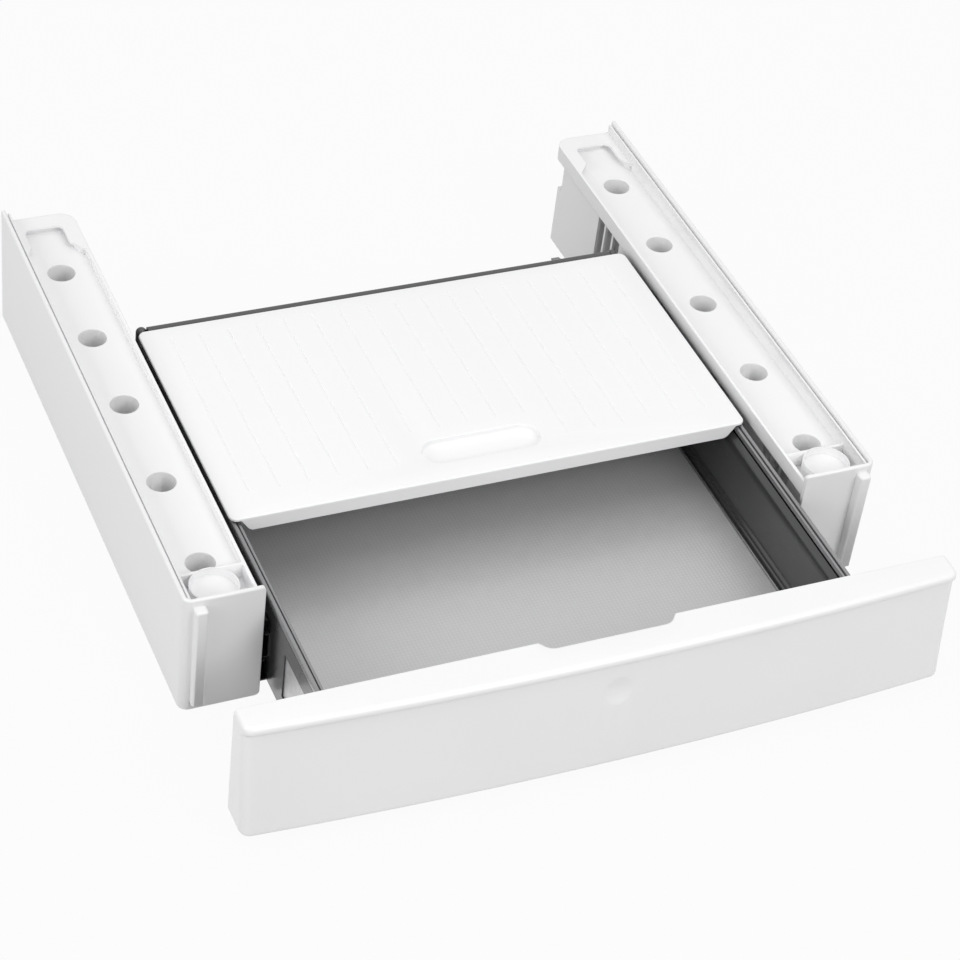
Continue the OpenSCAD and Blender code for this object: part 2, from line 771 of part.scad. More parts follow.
// Ribs and screw bosses inside the shell, which the back panel seats on
module fascia_ribs() {
    seat = fascia_y - fascia_t / 2;
    for (share = rib_x_shares, s = [-1, 1])
        box(s * share * half_w - fascia_t / 3, s * share * half_w + fascia_t / 3, front_y - over,
            seat, 0, kit_h);
    for (s = [0, 1]) mirror([s, 0, 0]) fascia_screw_places()
        translate([0, 0, -fascia_t / 2 - 2 * fascia_top_d])
            cylinder(r = fascia_screw_r + fascia_t, h = 2 * fascia_top_d);
}

module fascia_pilots() {
    fascia_screw_places() translate([0, 0, -fascia_screw_l - fit])
        cylinder(r = fascia_screw_r + fit / 3, h = 2 * fascia_screw_l);
}

module fascia() {
    color("white") kit() difference() {
        fascia_form(0);
        difference() {
            translate([0, over, 0]) fascia_form(fascia_t);
            translate([0, 0, kit_h - notch_h - fascia_t]) linear_extrude(notch_h + fascia_t)
                notch_outline(fascia_t);
            fascia_ribs();
        }
        translate([0, 0, kit_h - notch_h]) linear_extrude(notch_h + over) notch_outline(0);
        fascia_pilots();
        mirror([1, 0, 0]) fascia_pilots();
        translate([0, crest_y - lip_r - 0.22 * fascia_lean - dimple_r + dimple_l, dimple_z])
            sphere(dimple_r, $fn = 360);
    }
}

// Flat panel that closes the fascia's back
module fascia_back() {
    w = half_w - fascia_t - fit;
    hole = notch_w / 2 + fascia_t + fit;
    color("whitesmoke") kit() along_y(fascia_y - fascia_t / 2, fascia_y) difference() {
        translate([-w, fascia_z + fascia_t + fit]) square([2 * w, kit_h - fascia_z - 2 * (fascia_t + fit)]);
        translate([-hole, kit_h - notch_h - fascia_t - fit]) square([2 * hole, notch_h]);
        for (s = [-1, 1], z = fascia_screw_z) translate([s * fascia_screw_x, z])
            circle(fascia_screw_r + fit / 3);
    }
}

// Zinc bracket inside the hollow side, which shows through the window
module fascia_bracket() {
    x = inner_x + skin_t;
    difference() {
        translate([0, 0, window_z - 2 * skin_t]) linear_extrude(window_top - window_z + 4 * skin_t)
            sheet([[x, window_y + window_l + 2 * back_t], [x, fascia_y],
                [skin_x - skin_t - fit, fascia_y]], skin_t);
        fascia_screw_places() translate([0, 0, -2 * over])
            cylinder(r = fascia_screw_r + fit / 3, h = 4 * over);
    }
}
module right_fascia_bracket() { color("silver") right_of() fascia_bracket(); }
module left_fascia_bracket() { color("silver") left_of() fascia_bracket(); }

module fascia_screw_places() {
    for (z = fascia_screw_z) translate([fascia_screw_x, fascia_y, z]) rotate([-90, 0, 0]) children();
}

module fascia_screws() {
    color("silver") both_sides() fascia_screw_places() {
        translate([0, 0, skin_t]) cylinder(r = 1.7 * fascia_screw_r, h = skin_t);
        translate([0, 0, -fascia_screw_l]) cylinder(r = fascia_screw_r, h = fascia_screw_l + 1.5 * skin_t);
    }
}

// Worktop

module lid_outline() {
    translate([0, lid_y + lid_d / 2]) round_square(lid_w, lid_d, lid_r);
}

module lid_grooves() {
    for (i = [1:groove_count]) {
        x = (i - (groove_count + 1) / 2) * groove_pitch;
        y0 = abs(x) < grip_w / 2 + groove_pitch / 2 ? grip_y + grip_d : lid_y + grip_d;
        box(x - groove_w / 2, x + groove_w / 2, y0, lid_y + lid_d - grip_d / 2,
            lid_top - groove_w / 2, lid_top + over);
    }
}

module lid_apron_plate() {
    edge = tube_x - top_tube_r;
    bottom = lid_top - lid_apron;
    along_y(lid_y, lid_y + lid_t)
        polygon([[-edge, lid_z], [edge, lid_z], [edge - (lid_z - bottom) * 0.7, bottom],
            [(lid_z - bottom) * 0.7 - edge, bottom]]);
}

module worktop() {
    rib = 2 * lid_t;
    color("white") kit() difference() {
        union() {
            translate([0, 0, lid_z]) linear_extrude(lid_t) lid_outline();
            lid_apron_plate();
            translate([0, grip_y, lid_top - grip_l - lid_t]) linear_extrude(grip_l)
                stadium(grip_w + 2 * lid_t, grip_d + 2 * lid_t);
            for (share = lid_rib_x_shares)
                box(share * lid_w - lid_t / 2, share * lid_w + lid_t / 2, lid_y + lid_t / 2,
                    lid_y + lid_d, lid_z - rib, lid_z + lid_t / 2);
        }
        translate([0, grip_y, lid_top - grip_l]) linear_extrude(grip_l + over) stadium(grip_w, grip_d);
        lid_grooves();
    }
}

// Glide that lies on the top tube and guides the worktop along its inner side
module glide() {
    edge = tube_x - top_tube_r - fit;
    along_y(lid_y + 2 * lid_t, lid_y + lid_d - 2 * lid_t)
        sheet([[edge - 2 * glide_t, top_z - 1.4 * top_tube_r], [edge - glide_t, top_z - 1.4 * top_tube_r],
            [edge - glide_t, top_z + fit], [tube_x + 0.9 * top_tube_r, top_z + fit]], glide_t);
}
module right_glide() { color("lightgray") right_of() glide(); }
module left_glide() { color("lightgray") left_of() glide(); }

left_base();
right_base();
left_cover();
right_cover();
front_cross_rail();
rear_cross_rail();
cross_rail_screws();
left_runner_bracket();
right_runner_bracket();
left_fixed_rail();
right_fixed_rail();
runner_screws();
left_middle_rail();
right_middle_rail();
left_outer_cage();
right_outer_cage();
left_outer_balls();
right_outer_balls();
left_inner_cage();
right_inner_cage();
left_inner_balls();
right_inner_balls();
left_drawer_rail();
right_drawer_rail();
drawer_rail_screws();
left_side_inner();
right_side_inner();
left_side_outer();
right_side_outer();
left_top_tube();
right_top_tube();
side_rivets();
drawer_bottom();
back_panel();
back_clip();
left_corner_post();
right_corner_post();
fascia();
fascia_back();
left_fascia_bracket();
right_fascia_bracket();
fascia_screws();
worktop();
left_glide();
right_glide();
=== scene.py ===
"""Looks, light and camera of the stacking kit with drawer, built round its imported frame."""

import json
import logging
import math
from dataclasses import dataclass, field
from enum import Enum
from typing import Iterable, Sequence, Union

import bmesh
import bpy
from mathutils import Euler, Matrix, Vector


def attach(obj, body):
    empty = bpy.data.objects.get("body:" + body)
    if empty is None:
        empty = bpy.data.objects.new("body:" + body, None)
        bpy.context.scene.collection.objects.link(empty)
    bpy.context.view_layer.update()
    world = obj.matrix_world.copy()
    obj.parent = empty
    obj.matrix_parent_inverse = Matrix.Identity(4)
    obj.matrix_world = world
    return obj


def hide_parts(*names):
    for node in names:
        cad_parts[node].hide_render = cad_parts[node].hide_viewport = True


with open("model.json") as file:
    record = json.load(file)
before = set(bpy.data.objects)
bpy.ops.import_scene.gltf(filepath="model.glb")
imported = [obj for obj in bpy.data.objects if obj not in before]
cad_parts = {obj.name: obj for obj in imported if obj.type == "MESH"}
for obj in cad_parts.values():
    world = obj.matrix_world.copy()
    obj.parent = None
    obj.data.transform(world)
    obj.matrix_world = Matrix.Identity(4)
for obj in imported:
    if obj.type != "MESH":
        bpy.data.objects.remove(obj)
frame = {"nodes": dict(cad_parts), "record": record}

LOG = logging.getLogger("stacking_kit")
MM = 0.001
MIDDLE_Y = 181.0
SIDES = ((1, "right"), (-1, "left"))
TOWARDS_FRONT = Matrix.Rotation(math.radians(90), 3, "X")
TOWARDS_RIGHT = Matrix(((0, 0, 1), (1, 0, 0), (0, 1, 0)))
Number = Union[int, float, "Value"]
Element = Union[bmesh.types.BMVert, bmesh.types.BMEdge, bmesh.types.BMFace]


class Body(Enum):
    """Bodies of the frame that a piece can ride on."""

    COLUMNS = "columns"
    DRAWER = "drawer"
    LID = "lid"


class Pattern(Enum):
    """Surface pattern that is raised in a finish."""

    CHECKER = "checker"
    ROLLED = "rolled"


class Value:
    """A shader socket that is added to and multiplied as a number is."""

    def __init__(self, graph: "Graph", socket: bpy.types.NodeSocket) -> None:
        """Keeps the socket and the graph it belongs to."""
        self.graph = graph
        self.socket = socket

    def _math(self, operation: str, *others: Number) -> "Value":
        """Adds one Math node and returns its result."""
        return self.graph.math(operation, self, *others)

    def __add__(self, other: Number) -> "Value":
        """Sum."""
        return self._math("ADD", other)

    def __mul__(self, other: Number) -> "Value":
        """Product."""
        return self._math("MULTIPLY", other)

    def sine(self) -> "Value":
        """Sine of the value in radians."""
        return self._math("SINE")


class Graph:
    """Node tree of one material or of the surroundings."""

    def __init__(self, owner: bpy.types.Material | bpy.types.World) -> None:
        """Empties the owner's node tree."""
        owner.use_nodes = True
        self.owner = owner
        self.tree = owner.node_tree
        self.tree.nodes.clear()

    def node(self, kind: str, settings: dict | None = None,
             inputs: dict | None = None) -> bpy.types.Node:
        """Adds a node.

        Args:
            kind: type name of the node.
            settings: attributes set first; "stops" holds a colour ramp's stops.
            inputs: values or links by socket name or number.

        Returns:
            The new node.
        """
        made = self.tree.nodes.new(kind)
        for name, value in (settings or {}).items():
            if name == "stops":
                ramp = made.color_ramp.elements
                while len(ramp) < len(value):
                    ramp.new(0.5)
                for element, (place, grey) in zip(ramp, value):
                    element.position = place
                    element.color = (grey, grey, grey, 1.0)
            else:
                setattr(made, name, value)
        for name, value in (inputs or {}).items():
            socket = made.inputs[name]
            if isinstance(value, Value):
                self.tree.links.new(value.socket, socket)
            elif isinstance(value, bpy.types.NodeSocket):
                self.tree.links.new(value, socket)
            else:
                socket.default_value = value
        return made

    def math(self, operation: str, *terms: Number) -> Value:
        """Adds a Math node on up to three numbers or values."""
        made = self.node("ShaderNodeMath", {"operation": operation}, dict(enumerate(terms)))
        return Value(self, made.outputs[0])

    def place(self, scale: Sequence[float] = (1.0, 1.0, 1.0)) -> bpy.types.NodeSocket:
        """Object coordinates, stretched by scale."""
        coords = self.node("ShaderNodeTexCoord").outputs["Object"]
        return self.node("ShaderNodeMapping", None, {"Vector": coords, "Scale": scale}).outputs[0]

    def shown(self) -> Value:
        """1 for rays that come from the camera or a reflection, and 0 for all others."""
        path = self.node("ShaderNodeLightPath")
        rays = [Value(self, path.outputs[f"Is {kind} Ray"]) for kind in ("Camera", "Glossy")]
        return self.math("MAXIMUM", *rays)

    def noise(self, scale: float, detail: float, stretch: Sequence[float] = (1.0, 1.0, 1.0)) -> Value:
        """Noise between 0 and 1.

        Args:
            scale: waves to a metre.
            detail: octaves.
            stretch: scale along each axis.

        Returns:
            The noise as a value.
        """
        made = self.node("ShaderNodeTexNoise", {"noise_dimensions": "3D"},
                         {"Vector": self.place(stretch), "Scale": scale, "Detail": detail})
        return Value(self, made.outputs["Fac"])

    def ramp(self, value: Value, stops: Sequence[tuple[float, float]]) -> Value:
        """Value led through a ramp of greys."""
        made = self.node("ShaderNodeValToRGB", {"stops": stops}, {"Fac": value})
        return Value(self, made.outputs["Color"])

    def mix(self, factor: Number, low: Sequence[float], high: Sequence[float]) -> bpy.types.NodeSocket:
        """Colour between low and high."""
        made = self.node("ShaderNodeMix", {"data_type": "RGBA"},
                         {"Factor": factor, 6: (*low, 1.0), 7: (*high, 1.0)})
        return made.outputs[2]

    def bump(self, height: Value, distance: float, edge: float = 0.0) -> bpy.types.NodeSocket:
        """Normal raised by a height, over edges that look rounded.

        Args:
            height: height between 0 and 1.
            distance: metres that a height of 1 stands for.
            edge: radius in metres that sharp edges seem to have.

        Returns:
            The Normal socket of the Bump node.
        """
        inputs = {"Height": height, "Distance": distance, "Strength": 1.0}
        if edge:
            bevel = self.node("ShaderNodeBevel", {"samples": 6}, {"Radius": edge})
            inputs["Normal"] = bevel.outputs["Normal"]
        return self.node("ShaderNodeBump", None, inputs).outputs["Normal"]

    def surface(self, inputs: dict) -> bpy.types.Material:
        """Ends the material in a Principled shader and returns it."""
        shader = self.node("ShaderNodeBsdfPrincipled", None, inputs)
        self.node("ShaderNodeOutputMaterial", None, {"Surface": shader.outputs[0]})
        return self.owner


@dataclass(frozen=True)
class Finish:
    """What every finish has.

    Attributes:
        name: name of the material.
        colour: its main colour.
        shade: colour of its drifts, rubbed places or spangle, and the painted shade in a pressed
            checker's hollows.
        rough: roughness.
    """

    name: str
    colour: tuple[float, float, float]
    shade: tuple[float, float, float]
    rough: float = 0.38


@dataclass(frozen=True)
class Moulding(Finish):
    """White moulded plastic with a fine grain.

    Attributes:
        coat: weight of the clear skin.
        grain: depth of the grain in metres.
        edge: radius in metres that its sharp edges seem to have.
        coat_rough: roughness of the clear skin.
        spread: how far the roughness varies.
        drift: waves to a metre of the drift of the colour.
        fine: waves to a metre of the grain.
    """

    coat: float = 0.0
    grain: float = 0.00002
    edge: float = 0.0009
    coat_rough: float = 0.25
    spread: float = 0.08
    drift: float = 7.0
    fine: float = 900.0

    def make(self) -> bpy.types.Material:
        """Builds the material."""
        g = Graph(bpy.data.materials.new(self.name))
        flow = g.ramp(g.noise(self.drift, 2.0, (1.0, 0.3, 1.0)), [(0.35, 0.0), (0.7, 1.0)])
        fine = g.noise(self.fine, 2.0)
        return g.surface({
            "Base Color": g.mix(flow, self.colour, self.shade),
            "Roughness": fine * self.spread + (self.rough - self.spread / 2),
            "Coat Weight": self.coat,
            "Coat Roughness": self.coat_rough,
            "Normal": g.bump(fine, self.grain, self.edge),
        })


@dataclass(frozen=True)
class CoatedSteel(Finish):
    """Dark powder-coated sheet with a slight peel.

    Attributes:
        peel: depth of the peel in metres.
        coat: weight of the clear skin.
        metal: how far it mirrors as bare metal does.
        edge: radius in metres that its sharp edges seem to have, or zero for sharp edges.
        coat_rough: roughness of the clear skin.
        spread: how far the roughness varies.
        waves: waves to a metre of the peel.
        rub: waves to a metre of the rubbed places.
    """

    peel: float = 0.00003
    coat: float = 0.0
    metal: float = 0.2
    edge: float = 0.0004
    coat_rough: float = 0.18
    spread: float = 0.12
    waves: float = 350.0
    rub: float = 30.0

    def make(self) -> bpy.types.Material:
        """Builds the material."""
        g = Graph(bpy.data.materials.new(self.name))
        wave = g.noise(self.waves, 2.0)
        rubbed = g.ramp(g.noise(self.rub, 4.0, (1.0, 0.15, 1.0)), [(0.5, 0.0), (0.85, 1.0)])
        return g.surface({
            "Base Color": g.mix(rubbed, self.colour, self.shade),
            "Metallic": self.metal,
            "Roughness": wave * self.spread + (self.rough - self.spread / 2),
            "Coat Weight": self.coat,
            "Coat Roughness": self.coat_rough,
            "Normal": g.bump(wave, self.peel, self.edge),
        })


@dataclass(frozen=True)
class PlatedSteel(Finish):
    """Zinc-plated steel with spangle, rolled or pressed with a checker.

    Attributes:
        pattern: pattern raised in the sheet.
        pitch: distance in metres between the checker's raised points.
        depth: height of the pattern in metres.
        metal: how far it mirrors as bare metal does.
        edge: radius in metres that its sharp edges seem to have.
        spread: how far the roughness varies.
        grains: waves to a metre of the spangle.
        lines: waves to a metre of the rolling lines.
    """

    pattern: Pattern = Pattern.ROLLED
    pitch: float = 0.004
    depth: float = 0.00006
    metal: float = 0.85
    edge: float = 0.0003
    spread: float = 0.12
    grains: float = 120.0
    lines: float = 500.0

    def make(self) -> bpy.types.Material:
        """Builds the material."""
        g = Graph(bpy.data.materials.new(self.name))
        spangle = g.noise(self.grains, 4.0)
        if self.pattern is Pattern.CHECKER:
            at = g.node("ShaderNodeSeparateXYZ", None, {0: g.place()})
            turns = 2.0 * math.pi / self.pitch
            across, along = ((Value(g, at.outputs[axis]) * turns).sine() * 0.5 + 0.5 for axis in "XY")
            height = across * along
            # The checker's hollows lean towards the darker shade colour: painted shade of the pressing,
            # mixed with the spangle's own tone.
            spangle_and_painted_shade = g.ramp(height * 0.6 + spangle * 0.4, [(0.15, 1.0), (0.6, 0.0)])
        else:
            height = g.noise(self.lines, 2.0, (1.0, 0.05, 1.0))
            spangle_and_painted_shade = g.ramp(spangle, [(0.4, 0.0), (0.7, 1.0)])
        return g.surface({
            "Base Color": g.mix(spangle_and_painted_shade, self.colour, self.shade),
            "Metallic": self.metal,
            "Roughness": spangle * self.spread + (self.rough - self.spread / 2),
            "Normal": g.bump(height, self.depth, self.edge),
        })


@dataclass
class Finishes:
    """Attributes:
        made: material of each slot, and of the drawer's tray.
    """

    made: dict[str, bpy.types.Material] = field(default_factory=dict)

    def __post_init__(self) -> None:
        """Builds each material once."""
        plans = {
            "base": Moulding("base_moulding", (0.885, 0.885, 0.89), (0.865, 0.865, 0.87), 0.5),
            "cover": Moulding("cover_moulding", (0.86, 0.86, 0.865), (0.835, 0.835, 0.84), 0.36, 0.1,
                              0.00001),
            "fascia": Moulding("fascia_moulding", (0.88, 0.88, 0.885), (0.86, 0.86, 0.865), 0.33, 0.15,
                               0.000006, 0.0004),
            "worktop": Moulding("worktop_moulding", (0.9, 0.9, 0.905), (0.885, 0.885, 0.89), 0.36, 0.1,
                                0.000008, 0.0001),
            "glide": Moulding("glide_moulding", (0.7, 0.7, 0.69), (0.66, 0.66, 0.65), 0.5),
            "cage": Moulding("cage_moulding", (0.62, 0.6, 0.52), (0.56, 0.54, 0.47), 0.45),
            "rail_steel": CoatedSteel("bracket_coat", (0.02, 0.02, 0.021), (0.035, 0.035, 0.036)),
            "runner_steel": CoatedSteel("runner_coat", (0.016, 0.016, 0.017), (0.035, 0.035, 0.036),
                                        0.4, edge=0.0),
            "drawer_steel": CoatedSteel("drawer_coat", (0.036, 0.037, 0.038), (0.05, 0.051, 0.052), 0.3,
                                        0.00001, 0.6),
            # Lighter copy of the dark drawer coat: painted highlight for the top rim and the rolled
            # edge, which are the same dark steel as the skin.
            "tube": CoatedSteel("tube_painted_highlight", (0.25, 0.252, 0.255), (0.28, 0.282, 0.285), 0.24, 0.000002,
                                0.6, 0.6),
            "zinc": PlatedSteel("zinc_sheet", (0.62, 0.62, 0.625), (0.5, 0.5, 0.505), 0.4),
            "fastener": PlatedSteel("zinc_fastener", (0.6, 0.6, 0.6), (0.46, 0.46, 0.46), 0.34),
            "balls": PlatedSteel("ball_steel", (0.75, 0.75, 0.76), (0.7, 0.7, 0.71), 0.14),
            # The tray's darker shade colour also serves as painted shade in the hollows of its pressed
            # checker.
            "tray": PlatedSteel("tray_sheet", (0.565, 0.565, 0.57), (0.52, 0.52, 0.525), 0.4,
                                Pattern.CHECKER, 0.0032, 0.00007, 0.3),
        }
        for slot, plan in plans.items():
            self.made[slot] = plan.make()

    def dress(self, thing: bpy.types.Object, slot: str) -> None:
        """Gives an object the finish of a slot."""
        thing.data.materials.clear()
        thing.data.materials.append(self.made[slot])


def meshed(name: str, bm: bmesh.types.BMesh) -> bpy.types.Mesh:
    """Turns a bmesh into a mesh of that name and frees it."""
    mesh = bpy.data.meshes.new(name)
    bm.to_mesh(mesh)
    bm.free()
    return mesh


def linked(name: str, data: bpy.types.ID) -> bpy.types.Object:
    """Puts a new object of that name in the scene."""
    thing = bpy.data.objects.new(name, data)
    bpy.context.scene.collection.objects.link(thing)
    return thing


class Shop:
    """Makes pieces and puts them on their bodies."""

    def __init__(self, finishes: Finishes) -> None:
        """Keeps the finishes that pieces are dressed in."""
        self.finishes = finishes

    def piece(self, name: str, bm: bmesh.types.BMesh, body: Body, slot: str,
              replaces: Iterable[str] = (), finish: str | None = None, sharp: float = 35.0) -> None:
        """Turns a bmesh into a finished piece.

        Args:
            name: name of the piece.
            bm: its shape in metres, in the row's frame, which is freed.
            body: body it rides on.
            slot: the record's slot.
            replaces: CAD nodes it stands for.
            finish: finish to use when it isn't the slot's own.
            sharp: angle in degrees above which an edge stays sharp.
        """
        mesh = meshed(name, bm)
        mesh.polygons.foreach_set("use_smooth", [True] * len(mesh.polygons))
        mesh.set_sharp_from_angle(angle=math.radians(sharp))
        made = linked(name, mesh)
        self.finishes.dress(made, finish or slot)
        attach(made, body.value)
        for node in replaces:
            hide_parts(node)
        LOG.info("piece %s: %d faces", name, len(mesh.polygons))

    def copy_of(self, node: str) -> bmesh.types.BMesh:
        """Copy of a CAD node's mesh with its doubles merged and its flat faces joined."""
        bm = bmesh.new()
        bm.from_mesh(frame["nodes"][node].data)
        bmesh.ops.remove_doubles(bm, verts=bm.verts, dist=0.005 * MM)
        bmesh.ops.dissolve_limit(bm, angle_limit=math.radians(0.3), use_dissolve_boundaries=False,
                                 verts=bm.verts, edges=bm.edges, delimit=set())
        return bm

    def cut(self, bm: bmesh.types.BMesh, tool: bmesh.types.BMesh,
            operation: str = "DIFFERENCE") -> bmesh.types.BMesh:
        """Cuts a tool from a shape or joins it on.

        Args:
            bm: closed shape, which is freed.
            tool: closed shape, which is freed.
            operation: DIFFERENCE or UNION.

        Returns:
            The outcome as a new bmesh.
        """
        things = []
        for name, shape in (("work", bm), ("tool", tool)):
            bmesh.ops.recalc_face_normals(shape, faces=shape.faces)
            things.append(linked(name, meshed(name, shape)))
        work, other = things
        modifier = work.modifiers.new("cut", "BOOLEAN")
        modifier.operation = operation
        modifier.solver = "EXACT"
        modifier.use_self = operation == "UNION"
        modifier.object = other
        seen = work.evaluated_get(bpy.context.evaluated_depsgraph_get())
        made = bmesh.new()
        made.from_mesh(seen.to_mesh())
        seen.to_mesh_clear()
        for thing in things:
            mesh = thing.data
            bpy.data.objects.remove(thing)
            bpy.data.meshes.remove(mesh)
        return made


def outline(corners: Sequence[tuple[float, float]], radii: Sequence[float],
            segments: int) -> bmesh.types.BMesh:
    """Flat face in X and Y with rounded corners.

    Args:
        corners: corner points in order.
        radii: length taken off the edges at each corner, or zero.
        segments: segments of each rounding.

    Returns:
        A bmesh with the one face.
    """
    bm = bmesh.new()
    verts = [bm.verts.new((x, y, 0.0)) for x, y in corners]
    bm.faces.new(verts)
    for radius in sorted({r for r in radii if r}):
        chosen = [v for v, r in zip(verts, radii) if r == radius]
        bmesh.ops.bevel(bm, geom=chosen, offset=radius, offset_type="OFFSET", segments=segments,
                        profile=0.5, affect="VERTICES", clamp_overlap=False, material=-1)
    return bm


def raised(bm: bmesh.types.BMesh, face: bmesh.types.BMFace, height: float,
           scale: Sequence[float] = (1.0, 1.0),
           about: Sequence[float] = (0.0, 0.0)) -> bmesh.types.BMFace:
    """Extrudes a face along Z and stretches it in X and Y.

    Args:
        bm: shape that holds the face.
        face: face to extrude.
        height: how far it goes.
        scale: stretch in X and Y.
        about: point that the stretch keeps.

    Returns:
        The face at the new end.
    """
    inside = any(len(e.link_faces) > 1 for e in face.edges)
    made = bmesh.ops.extrude_face_region(bm, geom=[face])["geom"]
    if inside:
        bmesh.ops.delete(bm, geom=[face], context="FACES_ONLY")
    verts = [v for v in made if isinstance(v, bmesh.types.BMVert)]
    bmesh.ops.translate(bm, verts=verts, vec=(0.0, 0.0, height))
    centre = Matrix.Translation((-about[0], -about[1], 0.0))
    bmesh.ops.scale(bm, vec=(scale[0], scale[1], 1.0), verts=verts, space=centre)
    return next(f for f in made if isinstance(f, bmesh.types.BMFace))


def flared(bm: bmesh.types.BMesh, face: bmesh.types.BMFace, half: Sequence[float], radius: float,
           grow: int = 1, about: Sequence[float] = (0.0, 0.0)) -> bmesh.types.BMFace:
    """Extrudes a face over a quarter round, upwards as it grows or downwards as it shrinks.

    Args:
        bm: shape that holds the face.
        face: face to extrude.
        half: half of its length and of its width.
        radius: radius of the round.
        grow: 1 to grow, -1 to shrink.
        about: point that the face grows from.

    Returns:
        The face at the new end.
    """
    steps = 5
    gone = low = 0.0
    for step in range(1, steps + 1):
        turn = math.radians(90 * step / steps)
        out, rise = radius * (1 - math.cos(turn)), radius * math.sin(turn)
        scale = [(reach + grow * out) / (reach + grow * gone) for reach in half]
        face = raised(bm, face, grow * (rise - low), scale, about)
        gone, low = out, rise
    return face


def solid(bm: bmesh.types.BMesh, length: float, place: Sequence[float],
          turn: Matrix | None = None) -> bmesh.types.BMesh:
    """Extrudes the one face of a flat shape, turns it and moves it.

    Args:
        bm: flat shape in X and Y.
        length: how far it goes.
        place: where the drawing's origin goes.
        turn: rotation of the extruded shape.

    Returns:
        The same bmesh, as a solid.
    """
    raised(bm, bm.faces[:][0], length)
    if turn is not None:
        bmesh.ops.rotate(bm, verts=bm.verts, cent=(0, 0, 0), matrix=turn)
    bmesh.ops.translate(bm, verts=bm.verts, vec=place)
    return bm


def everything(bm: bmesh.types.BMesh) -> list[Element]:
    """Lists all vertices, edges and faces of a shape."""
    return [*bm.verts, *bm.edges, *bm.faces]


def mirrored(bm: bmesh.types.BMesh, side: int) -> bmesh.types.BMesh:
    """Puts a shape that is drawn for the right on its side, 1 for right or -1 for left."""
    bmesh.ops.scale(bm, vec=(side, 1, 1), verts=bm.verts)
    return bm


def block(x0: float, x1: float, y0: float, y1: float, z0: float, z1: float) -> bmesh.types.BMesh:
    """Straight block between two corners."""
    bm = bmesh.new()
    bmesh.ops.create_cube(bm, size=1.0)
    bmesh.ops.scale(bm, vec=(x1 - x0, y1 - y0, z1 - z0), verts=bm.verts)
    bmesh.ops.translate(bm, verts=bm.verts, vec=((x0 + x1) / 2, (y0 + y1) / 2, (z0 + z1) / 2))
    return bm


def joined(shapes: Iterable[bmesh.types.BMesh]) -> bmesh.types.BMesh:
    """Puts several shapes into one bmesh and frees them."""
    bm = bmesh.new()
    for shape in shapes:
        mesh = meshed("part", shape)
        bm.from_mesh(mesh)
        bpy.data.meshes.remove(mesh)
    return bm


def placed(bm: bmesh.types.BMesh) -> bmesh.types.BMesh:
    """Turns kit millimetres into the row's metres, with doubles merged and faces outwards."""
    bmesh.ops.remove_doubles(bm, verts=bm.verts, dist=0.002)
    bmesh.ops.recalc_face_normals(bm, faces=bm.faces)
    bmesh.ops.translate(bm, verts=bm.verts, vec=(0.0, -MIDDLE_Y, 0.0))
    bmesh.ops.scale(bm, vec=(MM, MM, MM), verts=bm.verts)
    return bm


